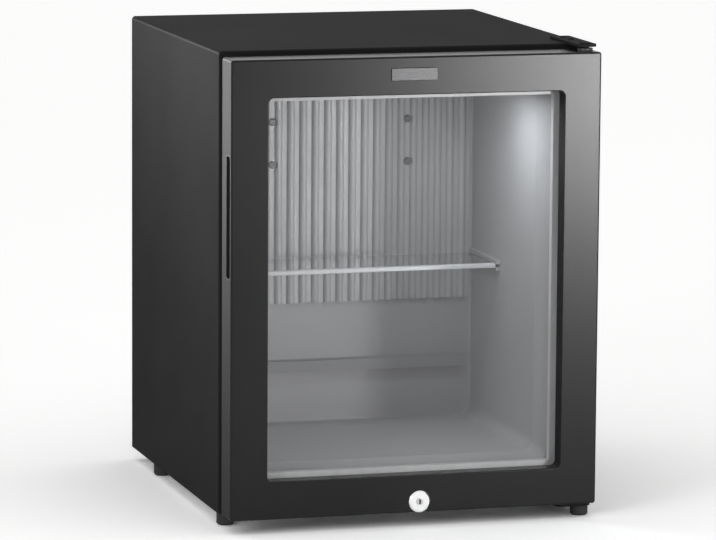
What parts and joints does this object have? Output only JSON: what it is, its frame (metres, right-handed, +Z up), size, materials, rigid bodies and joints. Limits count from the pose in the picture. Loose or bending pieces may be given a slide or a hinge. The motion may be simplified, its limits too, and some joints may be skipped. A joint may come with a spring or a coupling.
{
  "type": "minibar fridge",
  "caption": "Free-standing minibar fridge with a hinged double-glazed door, black cabinet, ribbed cooling plate, glass shelf and an open absorption cooling unit behind.",
  "frame": {"origin": "on the floor, under the middle of the whole object", "axes": "+Z up, the door faces -Y, the hinge side is +X"},
  "size_m": [0.4, 0.44, 0.5037],
  "materials": {
    "black_paint": "satin black powder coat",
    "zinc_sheet": "galvanised sheet",
    "unit_black": "matt black stove enamel on steel tube",
    "fin_aluminium": "plain rolled sheet",
    "plate_aluminium": "satin anodised extrusion",
    "jacket_steel": "zinc plated sheet",
    "foam": "rigid foam",
    "liner_grey": "light grey formed sheet, low gloss",
    "black_plastic": "satin black moulding",
    "dark_plastic": "black moulding",
    "white_plastic": "white moulding",
    "lens": "lit translucent strip",
    "pane": "clear float glass",
    "spacer_metal": "mill finish spacer",
    "sealant": "black sealant",
    "gasket": "soft dark grey seal",
    "magnet": "bonded magnet strip",
    "chrome": "bright plated",
    "zinc_steel": "zinc plated",
    "bush_nylon": "natural nylon",
    "foot_rubber": "moulded foot",
    "badge": "dark bare plate"
  },
  "bodies": {
    "cabinet": {"outer_wrap": "black_paint", "base_pan": "zinc_sheet", "back_panel": "zinc_sheet", "rear_rail": "black_paint", "insulation_foam": "foam", "inner_liner": "liner_grey", "evaporator_plate": "plate_aluminium", "evaporator_screws": "zinc_steel", "cold_block": "plate_aluminium", "evaporator_tube": "unit_black", "drip_channel": "liner_grey", "drain_tube": "white_plastic", "lamp_housing": "white_plastic", "lamp_lens": "lens", "foot_front_left": "foot_rubber", "foot_rear_left": "foot_rubber", "foot_rear_right": "foot_rubber", "hinge_foot": "foot_rubber", "upper_hinge_plate": "black_paint", "upper_hinge_pin": "zinc_steel", "lower_hinge_bracket": "black_paint", "lower_hinge_pin": "zinc_steel", "lock_keeper": "zinc_steel", "boiler_jacket": "jacket_steel", "boiler_tube": "unit_black", "heater_cartridge": "zinc_steel", "condenser_tube": "unit_black", "condenser_fins": "fin_aluminium", "absorber_vessel": "unit_black", "absorber_coil": "unit_black", "solution_line": "unit_black", "coil_rails": "zinc_sheet", "vessel_brackets": "zinc_sheet", "control_box": "dark_plastic", "control_box_lid": "dark_plastic", "cable_gland": "dark_plastic"},
    "door": {"door_frame": "black_plastic", "door_rear_frame": "black_plastic", "grip_cup": "dark_plastic", "front_pane": "pane", "rear_pane": "pane", "pane_spacer": "spacer_metal", "pane_sealant": "sealant", "door_gasket": "gasket", "gasket_magnets": "magnet", "badge_plate": "badge", "lock_barrel": "chrome", "lock_nut": "zinc_steel", "upper_hinge_bush": "bush_nylon", "lower_hinge_bush": "bush_nylon"},
    "lock": {"lock_plug": "chrome", "lock_cam": "zinc_steel", "cam_screw": "zinc_steel"},
    "shelf": {"shelf_glass": "pane", "shelf_trim": "white_plastic"},
    "thermostat": {"thermostat_knob": "white_plastic"}
  },
  "joints": [
    {"name": "door_swing", "type": "hinge", "parent": "cabinet", "child": "door", "pos_m": [0.188, -0.197, 0.25], "axis": [0, 0, 1], "range_deg": [0, 120]},
    {"name": "lock_turn", "type": "hinge", "parent": "door", "child": "lock", "pos_m": [0.0045, -0.196, 0.027], "axis": [0, 1, 0], "range_deg": [0, 90]},
    {"name": "shelf_slide", "type": "slide", "parent": "cabinet", "child": "shelf", "axis": [0, -1, 0], "range_m": [0, 0.06]},
    {"name": "thermostat_turn", "type": "hinge", "parent": "cabinet", "child": "thermostat", "pos_m": [0.008, -0.125, 0.45], "axis": [0, 0, 1], "range_deg": [0, 270]}
  ]
}
